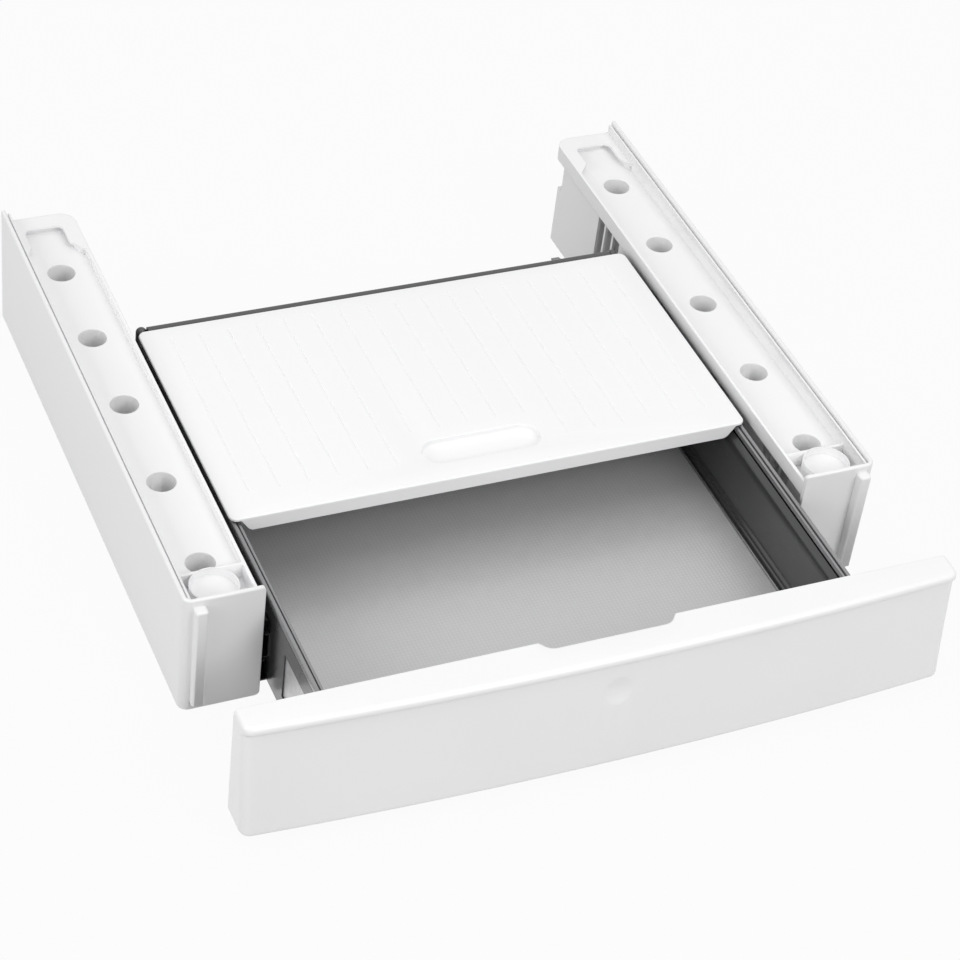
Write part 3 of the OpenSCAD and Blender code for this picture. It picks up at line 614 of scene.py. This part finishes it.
@dataclass
class Fascia:
    """Bowed drawer front with its lip, rounded ends, finger notch and dimple, in kit millimetres.

    Attributes:
        half: half of its width.
        top: height of its top.
        foot: height of its underside.
        back: its flat back.
        crest: where its top rounds over, at the middle.
        lip: how far the rounded lip stands before the crest.
        lean: how far its foot stands before the crest.
        bow: how far it bows over its width.
        end: radius of its upright end edges.
        notch: half of the finger notch at its mouth.
        notch_deep: depth of the finger notch from the back.
        notch_high: height of the finger notch.
        dimple: place of the dimple in X and Z.
        dimple_r: radius of the dimple.
        dimple_deep: depth of the dimple.
        tuck: how far the face tucks in under the lip.
        neck: how far below the top the tuck lies.
        brow: how far behind and below the nose's top its lower end lies.
        rounds: length taken off at each corner of the section.
        spare: how far the section reaches past the back before it is trimmed.
        overrun: how far the spin goes on past the ends, as a factor.
        spins: steps of the spin.
        end_steps: loops of edges along the round of each end.
        end_start: how far before the back the round of the end starts.
        end_grow: length over which that round grows to its full size.
        end_corner: radius of the ends' corners at top and foot, as a share of the lip.
        shoulder: height below the top where those corners start, and over which they grow.
        heel: height above the foot where they start, and their share there.
        loops: places of added loops of edges: below the top, above the foot, behind the crest and
            before the back.
        panel_rim: how far the back panel's seat stays inside the outline.
        panel_deep: depth of the back panel's seat.
        panel_wall: how far that seat stays clear of the finger notch.
        rings: rings of the dimple.
    """

    half: float = 298.0
    top: float = 115.0
    foot: float = 10.0
    back: float = -115.5
    crest: float = -144.2
    lip: float = 5.4
    lean: float = 13.8
    bow: float = 10.3
    end: float = 8.0
    notch: float = 56.8
    notch_deep: float = 8.0
    notch_high: float = 20.0
    dimple: tuple[float, float] = (-1.0, 80.4)
    dimple_r: float = 13.5
    dimple_deep: float = 2.2
    tuck: float = 3.8
    neck: float = 8.9
    brow: tuple[float, float] = (0.1, 6.6)
    rounds: tuple[float, ...] = (0.0, 4.6, 1.2, 1.3, 3.0, 0.0)
    spare: float = 2.0
    overrun: float = 1.04
    spins: int = 60
    end_steps: int = 12
    end_start: float = 4.0
    end_grow: float = 22.0
    end_corner: float = 0.7
    shoulder: tuple[float, float] = (13.0, 8.0)
    heel: tuple[float, float] = (4.0, 0.5)
    loops: tuple[tuple[float, ...], ...] = ((11.5, 13.5), (4.5, 7.0), (1.5, 4.0), (1.5,))
    panel_rim: float = 3.0
    panel_deep: float = 1.8
    panel_wall: float = 1.7
    rings: int = 8

    def shell(self) -> bmesh.types.BMesh:
        """Spins the section over the bow, trims the ends and rounds them."""
        nose = self.crest - self.lip
        behind = self.back + self.spare
        bm = outline([(behind, self.top), (nose, self.top),
                      (nose + self.brow[0], self.top - self.brow[1]),
                      (nose + self.tuck, self.top - self.neck), (self.crest - self.lean, self.foot),
                      (behind, self.foot)], self.rounds, 7)
        bmesh.ops.rotate(bm, verts=bm.verts, cent=(0, 0, 0), matrix=TOWARDS_RIGHT)
        radius = (self.half ** 2 + self.bow ** 2) / (2 * self.bow)
        centre = (0.0, self.crest + radius, 0.0)
        span = 2 * self.overrun * math.asin(self.half / radius)
        bmesh.ops.rotate(bm, verts=bm.verts, cent=centre, matrix=Matrix.Rotation(-span / 2, 3, "Z"))
        bmesh.ops.spin(bm, geom=everything(bm), cent=centre, axis=(0, 0, 1), angle=span,
                       steps=self.spins)
        bmesh.ops.recalc_face_normals(bm, faces=bm.faces)
        self.trim(bm, (0, self.back, 0), (0, 1, 0))
        for side in (-1, 1):
            self.trim(bm, (side * self.half, 0, 0), (side, 0, 0))
            for step in range(self.end_steps):
                turn = math.radians(90 * step / self.end_steps)
                place = self.half - self.end * (1.0 - math.sin(turn))
                self.add_loop(bm, (side * place, 0, 0), (1, 0, 0))
        down, up, behind, before = self.loops
        for height in [self.top - z for z in down] + [self.foot + z for z in up]:
            self.add_loop(bm, (0, 0, height), (0, 0, 1))
        for depth in [self.crest + y for y in behind] + [self.back - y for y in before]:
            self.add_loop(bm, (0, depth, 0), (0, 1, 0))
        for vert in bm.verts:
            self.round_end(vert)
        return bm

    def trim(self, bm: bmesh.types.BMesh, place: Sequence[float], normal: Sequence[float]) -> None:
        """Takes off what lies beyond a plane and closes the cut.

        Args:
            bm: the shell.
            place: point of the plane.
            normal: direction of what goes.
        """
        made = bmesh.ops.bisect_plane(bm, geom=everything(bm), dist=0.001, plane_co=place,
                                      plane_no=normal, clear_outer=True)
        rim = [e for e in made["geom_cut"] if isinstance(e, bmesh.types.BMEdge)]
        bmesh.ops.contextual_create(bm, geom=rim)

    def add_loop(self, bm: bmesh.types.BMesh, place: Sequence[float], normal: Sequence[float]) -> None:
        """Adds a loop of edges where a plane crosses the shell."""
        bmesh.ops.bisect_plane(bm, geom=everything(bm), dist=0.001, plane_co=place, plane_no=normal)

    def round_end(self, vert: bmesh.types.BMVert) -> None:
        """Draws a vertex near an end in along the round of the end's edges."""
        front = min(1.0, max(0.0, (self.back - self.end_start - vert.co.y) / self.end_grow))
        shoulder, shoulder_grow = self.shoulder
        heel, heel_share = self.heel
        for radius, upright in ((self.end, True), (self.lip * self.end_corner, False)):
            reach = abs(vert.co.x) - (self.half - radius)
            if reach <= 0.0:
                continue
            drop = radius * (1.0 - math.sqrt(max(0.0, 1.0 - (reach / radius) ** 2)))
            if upright:
                vert.co.y += drop * front
            elif vert.co.z > self.top - shoulder:
                vert.co.z -= drop * min(1.0, (vert.co.z - self.top + shoulder) / shoulder_grow)
            elif vert.co.z < self.foot + heel:
                vert.co.z += drop * heel_share

    def notch_tool(self) -> bmesh.types.BMesh:
        """Block that cuts the finger notch, flared at the top edge."""
        inner = self.back - self.notch_deep
        wide, narrow, flare = self.notch, self.notch - 6.5, 1.5
        bm = outline([(-wide, self.back), (-narrow, inner), (narrow, inner), (wide, self.back),
                      (wide, self.back + 6), (-wide, self.back + 6)], [0, 5.0, 5.0, 0, 0, 0], 6)
        face = raised(bm, bm.faces[:][0], self.notch_high - flare)
        face = flared(bm, face, (wide, self.notch_deep), flare, about=(0.0, self.back))
        raised(bm, face, 2.0)
        bmesh.ops.translate(bm, verts=bm.verts, vec=(0, 0, self.top - self.notch_high))
        return bm

    def panel_tool(self) -> bmesh.types.BMesh:
        """Block that sinks the seat of the back panel."""
        rim = self.panel_rim
        edge, low, high = self.half - rim, self.foot + rim, self.top - rim
        wall, sill = self.notch + self.panel_wall, high - self.notch_high
        bm = outline([(-edge, low), (edge, low), (edge, high), (wall, high), (wall, sill),
                      (-wall, sill), (-wall, high), (-edge, high)], [0] * 8, 1)
        length = 6.0
        return solid(bm, length, (0, self.back + length - self.panel_deep, 0), TOWARDS_FRONT)

    def dimple_tool(self) -> bmesh.types.BMesh:
        """Lens that cuts the round dimple into the leaning face."""
        bm = bmesh.new()
        bmesh.ops.create_circle(bm, cap_ends=True, radius=self.dimple_r, segments=72)
        raised(bm, bm.faces[:][0], 4.0)
        bmesh.ops.recalc_face_normals(bm, faces=bm.faces)
        low = min(bm.faces, key=lambda f: f.calc_center_median().z)
        for step in range(self.rings):
            outer, inner = 1 - step / self.rings, 1 - (step + 1) / self.rings
            soft = 0.35 if step == 0 else 1.0
            share = 0.98 if step < self.rings - 1 else 0.6
            bmesh.ops.inset_region(bm, faces=[low], thickness=self.dimple_r / self.rings * share,
                                   depth=self.dimple_deep * (outer ** 2 - inner ** 2) * soft,
                                   use_even_offset=True)
        x, z = self.dimple
        neck = self.top - self.neck
        slope = math.atan2(self.lean - self.lip + self.tuck, neck - self.foot)
        face_y = self.crest - self.lip + self.tuck - (neck - z) * math.tan(slope)
        bmesh.ops.rotate(bm, verts=bm.verts, cent=(0, 0, 0),
                         matrix=Matrix.Rotation(math.radians(90) - slope, 3, "X"))
        bmesh.ops.translate(bm, verts=bm.verts, vec=(x, face_y, z))
        return bm

    def build(self, shop: "Shop") -> None:
        """Makes the fascia and stands it for its CAD node."""
        bm = shop.cut(self.shell(), self.panel_tool())
        bm = shop.cut(bm, self.notch_tool())
        bm = shop.cut(bm, self.dimple_tool())
        shop.piece("fascia_front", placed(bm), Body.DRAWER, "fascia", ["fascia"], sharp=28.0)


@dataclass
class Worktop:
    """Sliding worktop with its grooves, grip, apron and ribs, in kit millimetres.

    Attributes:
        half: half of its width.
        front: its front edge.
        back: its rear edge.
        top: height of its top.
        thick: thickness of the plate.
        corner: radius of its corners.
        apron: height of the front apron from the top.
        apron_half: half of the apron's width at its top.
        apron_slant: how far the apron's ends slant in, as a share of its height.
        edge: radius of its upper edges.
        overlap: how far what hangs below reaches up into the plate.
        ribs: place of each rib as a share of the width.
        rib: half of a rib's thickness, and its height.
        rib_ends: how far the ribs stay behind the front edge, and before the back.
        grip: half of the grip's length and of its width.
        grip_y: middle of the grip.
        grip_deep: depth of the grip.
        grip_rounds: radius of the round at the grip's foot, and at its rim.
        grooves: number of grooves.
        groove: width and depth of a groove.
        groove_ends: how far they stay behind the front edge or the grip, and before the back.
    """

    half: float = 228.0
    front: float = 96.5
    back: float = 345.5
    top: float = 97.5
    thick: float = 2.2
    corner: float = 6.6
    apron: float = 13.5
    apron_half: float = 219.6
    apron_slant: float = 0.7
    edge: float = 1.1
    overlap: float = 0.6
    ribs: tuple[float, ...] = (-0.36, -0.18, 0.18, 0.36)
    rib: tuple[float, float] = (1.1, 4.4)
    rib_ends: tuple[float, float] = (1.1, 1.0)
    grip: tuple[float, float] = (52.0, 14.5)
    grip_y: float = 131.4
    grip_deep: float = 6.0
    grip_rounds: tuple[float, float] = (2.6, 0.9)
    grooves: int = 17
    groove: tuple[float, float] = (1.7, 0.7)
    groove_ends: tuple[float, float] = (29.0, 14.5)

    def plate(self) -> bmesh.types.BMesh:
        """Rounded plate with its edges broken."""
        bm = outline([(-self.half, self.front), (self.half, self.front), (self.half, self.back),
                      (-self.half, self.back)], [self.corner] * 4, 6)
        solid(bm, self.thick, (0, 0, self.top - self.thick))
        bmesh.ops.recalc_face_normals(bm, faces=bm.faces)
        upper = [e for e in bm.edges if all(v.co.z > self.top - 0.01 for v in e.verts)]
        bmesh.ops.bevel(bm, geom=upper, offset=self.edge, offset_type="OFFSET", segments=4, profile=0.5,
                        affect="EDGES", clamp_overlap=True, material=-1)
        return bm

    def underside(self) -> bmesh.types.BMesh:
        """Apron, grip box and ribs that hang under the plate."""
        under = self.top - self.thick
        low, seat = self.top - self.apron, under + self.overlap
        wide, narrow = self.apron_half, self.apron_half - (seat - low) * self.apron_slant
        apron = outline([(-wide, seat), (wide, seat), (narrow, low), (-narrow, low)],
                        [0, 0, 3.0, 3.0], 4)
        shapes = [solid(apron, self.thick, (0, self.front + self.thick, 0), TOWARDS_FRONT)]
        long, wide = self.grip
        shapes.append(self.stadium(long + self.thick, wide + self.thick,
                                   self.grip_deep + self.thick - self.overlap, self.top - self.overlap))
        thin, high = self.rib
        start, end = self.front + self.rib_ends[0], self.back - self.rib_ends[1]
        for share in self.ribs:
            x = share * 2 * self.half
            shapes.append(block(x - thin, x + thin, start, end, under - high, seat))
        return joined(shapes)

    def stadium(self, long: float, wide: float, deep: float, top: float,
                rounds: Sequence[float] = ()) -> bmesh.types.BMesh:
        """Long block with round ends that hangs from a height.

        Args:
            long: half of its length.
            wide: half of its width.
            deep: how deep it goes.
            top: height of its top.
            rounds: radius of the round at its foot and of the flare at its top, if it has them.

        Returns:
            The block.
        """
        bm = outline([(-long, -wide), (long, -wide), (long, wide), (-long, wide)],
                     [wide * 0.999] * 4, 10)
        foot, rim = rounds or (0.0, 0.0)
        face = raised(bm, bm.faces[:][0], foot - deep)
        if rounds:
            flared(bm, face, (long, wide), foot, -1)
            bmesh.ops.recalc_face_normals(bm, faces=bm.faces)
            upper = max(bm.faces, key=lambda f: f.calc_center_median().z)
            bmesh.ops.translate(bm, verts=upper.verts, vec=(0, 0, -rim))
            raised(bm, flared(bm, upper, (long, wide), rim), 1.0)
        bmesh.ops.translate(bm, verts=bm.verts, vec=(0, self.grip_y, top))
        return bm

    def groove_tools(self) -> bmesh.types.BMesh:
        """Three-sided bars that cut the grooves."""
        pitch = 2 * self.half / (self.grooves + 1)
        wide, deep = self.groove
        over = 0.15
        end = self.back - self.groove_ends[1]
        bars = []
        for number in range(1, self.grooves + 1):
            x = (number - (self.grooves + 1) / 2) * pitch
            behind = self.grip_y if abs(x) < self.grip[0] + pitch / 2 else self.front
            bar = outline([(x - wide / 2 - over, over), (x, -deep), (x + wide / 2 + over, over)],
                          [0, 0.3, 0], 2)
            length = end - behind - self.groove_ends[0]
            bars.append(solid(bar, length, (0, end, self.top), TOWARDS_FRONT))
        return joined(bars)

    def build(self, shop: "Shop") -> None:
        """Makes the worktop and stands it for its CAD node."""
        bm = shop.cut(self.plate(), self.underside(), "UNION")
        bm = shop.cut(bm, self.stadium(*self.grip, self.grip_deep, self.top, self.grip_rounds))
        bm = shop.cut(bm, self.groove_tools())
        shop.piece("worktop_plate", placed(bm), Body.LID, "worktop", ["worktop"], sharp=28.0)


@dataclass
class DrawerSide:
    """Drawer sides: skins, rolled edges, rims, fascia brackets and posts, in kit millimetres.

    Attributes:
        front: where the sides start.
        back: where they end.
        face: points of the skin's face in X and Z, from its top down.
        rounds: length taken off at each point of the face.
        sheet: shift that gives the skin its thickness.
        bracket: inner face, outer face, rear end and rear end of the outer web of the fascia bracket.
        bracket_z: lowest and highest point of the fascia bracket.
        roll: middle in X and Z and radius of the rolled edge along the bottom.
        rim: points of the grooved top rim in X and Z.
        rim_rounds: length taken off at each point of the rim.
    """

    front: float = -115.5
    back: float = 346.0
    face: tuple[tuple[float, float], ...] = (
        (219.9, 86.3), (216.6, 83.4), (215.0, 80.6), (214.0, 77.0), (214.0, 31.8), (211.2, 30.2),
        (211.6, 27.4), (209.9, 26.6), (209.9, 22.1))
    rounds: tuple[float, ...] = (0.0, 2.0, 1.6, 1.8, 0.7, 0.7, 0.4, 0.6, 0.0)
    sheet: tuple[float, float] = (0.9, -0.9)
    bracket: tuple[float, float, float, float] = (215.0, 225.2, -15.0, -24.0)
    bracket_z: tuple[float, float] = (23.0, 66.0)
    roll: tuple[float, float, float] = (207.9, 23.1, 1.05)
    rim: tuple[tuple[float, float], ...] = (
        (219.8, 88.0), (219.8, 93.0), (222.2, 93.0), (222.2, 90.9), (223.2, 90.9), (223.2, 93.9),
        (226.7, 93.9), (226.7, 88.0))
    rim_rounds: tuple[float, ...] = (0.8, 0.9, 0.8, 0.2, 0.2, 1.0, 1.5, 0.8)

    def along(self, bm: bmesh.types.BMesh, x: float = 0.0, z: float = 0.0) -> bmesh.types.BMesh:
        """Extrudes a section along the whole side, with its origin at X and Z."""
        return solid(bm, self.back - self.front, (x, self.back, z), TOWARDS_FRONT)

    def skin(self) -> bmesh.types.BMesh:
        """Draws the skin's section and extrudes it along the drawer."""
        low = self.face[-1][1]
        rear = [(x + self.sheet[0], max(low, z + self.sheet[1])) for x, z in self.face]
        bm = outline([*self.face, *rear[::-1]], [*self.rounds, *[0.0] * len(rear)], 5)
        return self.along(bm)

    def edge_roll(self) -> bmesh.types.BMesh:
        """Rolled edge that runs along the bottom beside the skin's foot."""
        x, z, radius = self.roll
        bm = bmesh.new()
        bmesh.ops.create_circle(bm, cap_ends=True, radius=radius, segments=20)
        return self.along(bm, x, z)

    def grooved_rim(self) -> bmesh.types.BMesh:
        """Draws the rim's two beads and extrudes them along the drawer."""
        return self.along(outline(self.rim, self.rim_rounds, 5))

    def zinc(self) -> bmesh.types.BMesh:
        """Folds the fascia bracket of sheet s: a web at each skin and one on the fascia."""
        inner, outer, rear, web = self.bracket
        low, high = self.bracket_z
        s = 1.0
        bm = outline([(inner, rear), (inner, self.front), (outer, self.front), (outer, web),
                      (outer - s, web), (outer - s, self.front + s), (inner + s, self.front + s),
                      (inner + s, rear)], [0, 1.2, 1.2, 0, 0, 0.3, 0.3, 0], 3)
        return solid(bm, high - low, (0, 0, low))

    def build(self, shop: "Shop") -> None:
        """Makes both sides."""
        # The rolled edge and the top rim wear the lighter tube finish: painted highlight on steel as
        # dark as the skin.
        plans = (("side_skin", self.skin, "drawer_steel", "drawer_steel", "side_inner"),
                 ("side_roll", self.edge_roll, "drawer_steel", "tube", None),
                 ("top_rim", self.grooved_rim, "drawer_steel", "tube", "top_tube"),
                 ("fascia_angle", self.zinc, "zinc", "zinc", "fascia_bracket"))
        for side, name in SIDES:
            for label, make, slot, finish, node in plans:
                shop.piece(f"{name}_{label}", placed(mirrored(make(), side)), Body.DRAWER, slot,
                           [f"{name}_{node}"] if node else [], finish, sharp=30.0)
            shop.piece(f"{name}_corner_post_shape", shop.copy_of(f"{name}_corner_post"), Body.DRAWER,
                       "drawer_steel", [f"{name}_corner_post"])


@dataclass
class BackPanel:
    """Back of the drawer with its turned and rounded top, in kit millimetres.

    Attributes:
        half: half of its width.
        face: its front face.
        rear: rear face of the turned top.
        top: height of its top.
        lip: how far the turned top hangs down behind.
        foot: height of its lower edge.
        sheet: thickness of the sheet.
        curl: radius of the turned edges.
    """

    half: float = 216.9
    face: float = 346.0
    rear: float = 354.8
    top: float = 95.2
    lip: float = 9.0
    foot: float = 12.5
    sheet: float = 1.0
    curl: float = 2.2

    def build(self, shop: "Shop") -> None:
        """Makes the panel and stands it for its CAD node."""
        s, r = self.sheet, self.curl
        bm = outline([(self.rear, self.top - self.lip), (self.rear, self.top), (self.face, self.top),
                      (self.face, self.foot), (self.face + s, self.foot), (self.face + s, self.top - s),
                      (self.rear - s, self.top - s), (self.rear - s, self.top - self.lip)],
                     [0, r, r / 2, 0, 0, (r - s) / 2, r - s, 0], 5)
        solid(bm, 2 * self.half, (-self.half, 0, 0), TOWARDS_RIGHT)
        shop.piece("back_panel_shape", placed(bm), Body.DRAWER, "drawer_steel", ["back_panel"])


@dataclass
class Columns:
    """Column mouldings, smoothly shaded, with the slot that runs round each rear pocket under its lip.

    Attributes:
        slot: outline of the slot in kit millimetres, for the right column.
        rounds: length taken off at each corner of the outline.
        slot_z: lowest and highest point of the slot.
    """

    slot: tuple[tuple[float, float], ...] = (
        (238.3, 462.5), (290.3, 462.5), (287.0, 473.0), (287.0, 505.5), (245.0, 505.5), (245.0, 473.0))
    rounds: tuple[float, ...] = (0.0, 0.0, 4.0, 7.0, 7.0, 4.0)
    slot_z: tuple[float, float] = (97.03, 102.0)

    def slot_tool(self, side: int) -> bmesh.types.BMesh:
        """Block that cuts the slot into one column."""
        low, high = self.slot_z
        bm = solid(outline(self.slot, self.rounds, 5), high - low, (0, 0, low))
        return placed(mirrored(bm, side))

    def build(self, shop: "Shop") -> None:
        """Makes both columns."""
        for side, name in SIDES:
            bm = shop.cut(shop.copy_of(f"{name}_base"), self.slot_tool(side))
            shop.piece(f"{name}_base_shape", bm, Body.COLUMNS, "base", [f"{name}_base"])
            shop.piece(f"{name}_cover_shape", shop.copy_of(f"{name}_cover"), Body.COLUMNS, "cover",
                       [f"{name}_cover"])


@dataclass(frozen=True)
class CarriedNodes:
    """CAD nodes that stay as they are and only get a finish.

    Attributes:
        own: finish of each node that doesn't take its slot's.
    """

    own: tuple[tuple[str, str], ...] = (("drawer_bottom", "tray"), ("side_rivets", "drawer_steel"))

    def dress(self, finishes: Finishes) -> None:
        """Dresses every shown node in its own finish or its slot's."""
        chosen = {s["node"]: s["material_slot"] for s in frame["record"]["subparts"]}
        chosen.update(self.own)
        for name, thing in frame["nodes"].items():
            if not thing.hide_render:
                finishes.dress(thing, chosen[name])
                LOG.info("node %s: %s", name, chosen[name])


@dataclass(frozen=True)
class Lamp:
    """Broad soft lamp.

    Attributes:
        name: name of the lamp.
        size: its width and height in metres.
        power: its power in watts.
        place: where it hangs, in metres.
        aim: point that it faces.
    """

    name: str
    size: tuple[float, float]
    power: float
    place: tuple[float, float, float]
    aim: tuple[float, float, float] = (0.0, 0.0, 0.05)

    def hang(self) -> None:
        """Puts the lamp in the scene."""
        data = bpy.data.lights.new(self.name, "AREA")
        data.shape = "RECTANGLE"
        data.size, data.size_y = self.size
        data.energy = self.power
        thing = linked(self.name, data)
        thing.location = self.place
        ahead = Vector(self.aim) - Vector(self.place)
        thing.rotation_euler = ahead.to_track_quat("-Z", "Y").to_euler()


@dataclass(frozen=True)
class Studio:
    """Camera, lamps, floor and surroundings.

    Attributes:
        eye: place of the camera in metres.
        turn: rotation of the camera in degrees.
        lens: focal length in millimetres, on a sensor 36 wide.
        grey: grey of the floor in the light that it gives back.
        glow: how far the floor shows pure white instead of its shadow.
    """

    eye: tuple[float, float, float] = (-0.80602, -1.60858, 1.54796)
    turn: tuple[float, float, float] = (49.4176, -5.8088, -22.481)
    lens: float = 103.88
    lamps: tuple[Lamp, ...] = (
        Lamp("overhead", (2.6, 2.2), 13.0, (0.3, 0.35, 2.3), (0.3, 0.35, 0.0)),
        Lamp("left_side", (1.8, 1.4), 26.0, (-2.6, -0.6, 1.5)),
        Lamp("front_right", (1.8, 1.4), 30.0, (0.9, -2.3, 2.0)))
    sky: float = 0.56
    grey: float = 0.5
    glow: float = 0.94

    def camera(self) -> None:
        """Sets the camera at the photograph's viewpoint."""
        data = bpy.data.cameras.new("photo_camera")
        data.lens = self.lens
        data.sensor_width = 36.0
        data.clip_end = 50.0
        thing = linked("photo_camera", data)
        thing.location = self.eye
        thing.rotation_euler = Euler([math.radians(a) for a in self.turn], "XYZ")
        bpy.context.scene.camera = thing

    def surroundings(self) -> None:
        world = bpy.data.worlds.new("studio")
        g = Graph(world)
        strength = g.node("ShaderNodeMapRange", None,
                          {"Value": g.shown(), "To Min": self.sky, "To Max": 1.0})
        back = g.node("ShaderNodeBackground", None,
                      {"Color": (1.0, 1.0, 1.0, 1.0), "Strength": strength.outputs[0]})
        g.node("ShaderNodeOutputWorld", None, {"Surface": back.outputs[0]})
        bpy.context.scene.world = world

    def floor(self) -> None:
        """Lays a white floor that keeps a faint shadow."""
        bm = bmesh.new()
        bmesh.ops.create_grid(bm, x_segments=2, y_segments=2, size=6.0)
        bmesh.ops.translate(bm, verts=bm.verts, vec=(0.0, 0.0, -0.5 * MM))
        thing = linked("floor", meshed("floor", bm))
        material = bpy.data.materials.new("studio_floor")
        g = Graph(material)
        matt = g.node("ShaderNodeBsdfDiffuse", None, {"Color": (self.grey, self.grey, self.grey, 1.0)})
        glow = g.node("ShaderNodeEmission", None, {"Color": (1.0, 1.0, 1.0, 1.0), "Strength": 1.0})
        both = g.node("ShaderNodeMixShader", None,
                      {0: g.shown() * self.glow, 1: matt.outputs[0], 2: glow.outputs[0]})
        g.node("ShaderNodeOutputMaterial", None, {"Surface": both.outputs[0]})
        thing.data.materials.append(material)

    def build(self) -> None:
        """Sets up the whole studio."""
        self.camera()
        for lamp in self.lamps:
            lamp.hang()
        self.surroundings()
        self.floor()
        bpy.context.scene.view_settings.view_transform = "Standard"


def main() -> None:
    """Builds the scene and reports each piece."""
    logging.basicConfig(level=logging.INFO, format="%(message)s")
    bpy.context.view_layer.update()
    finishes = Finishes()
    shop = Shop(finishes)
    Studio().build()
    for group in (Columns(), DrawerSide(), BackPanel(), Fascia(), Worktop()):
        group.build(shop)
    CarriedNodes().dress(finishes)


if __name__ == "__main__":
    main()
